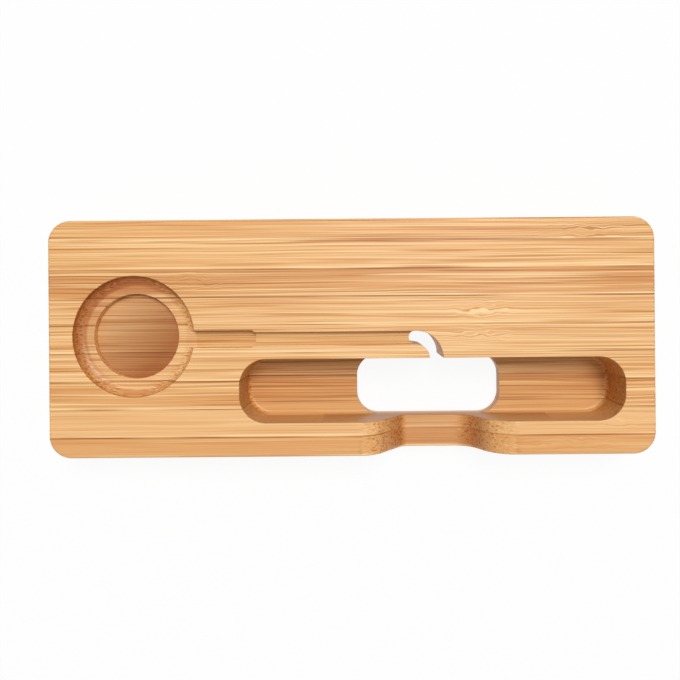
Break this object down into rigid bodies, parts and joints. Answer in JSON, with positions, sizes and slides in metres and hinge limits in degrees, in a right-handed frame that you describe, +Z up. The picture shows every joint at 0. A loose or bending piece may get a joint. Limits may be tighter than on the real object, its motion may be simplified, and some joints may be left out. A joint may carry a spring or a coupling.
{
  "type": "charging station organizer",
  "caption": "Low bamboo block that holds a phone and a watch charging disc: stepped round recess, cable groove with a hooked slit, long phone slot with a plug hole, and a scooped front wall.",
  "frame": {"origin": "middle of the footprint, on the surface that the feet stand on", "axes": "+X along the block, from the disc recess towards the phone slot; +Y towards the back; +Z up"},
  "size_m": [0.2056, 0.0804, 0.0265],
  "materials": {
    "bamboo_pale": "satin",
    "bamboo_honey": "satin",
    "bamboo_tan": "satin",
    "foot_rubber": "matte"
  },
  "bodies": {
    "root": {"strip_1_back": "bamboo_honey", "strip_2": "bamboo_honey", "strip_3": "bamboo_tan", "strip_4": "bamboo_pale", "strip_5_middle": "bamboo_pale", "strip_6_left": "bamboo_pale", "strip_6_right": "bamboo_pale", "strip_7_left": "bamboo_tan", "strip_7_right": "bamboo_tan", "strip_8": "bamboo_pale", "strip_9_front": "bamboo_tan", "foot_back_left": "foot_rubber", "foot_back_right": "foot_rubber", "foot_front_left": "foot_rubber", "foot_front_right": "foot_rubber"}
  },
  "joints": []
}
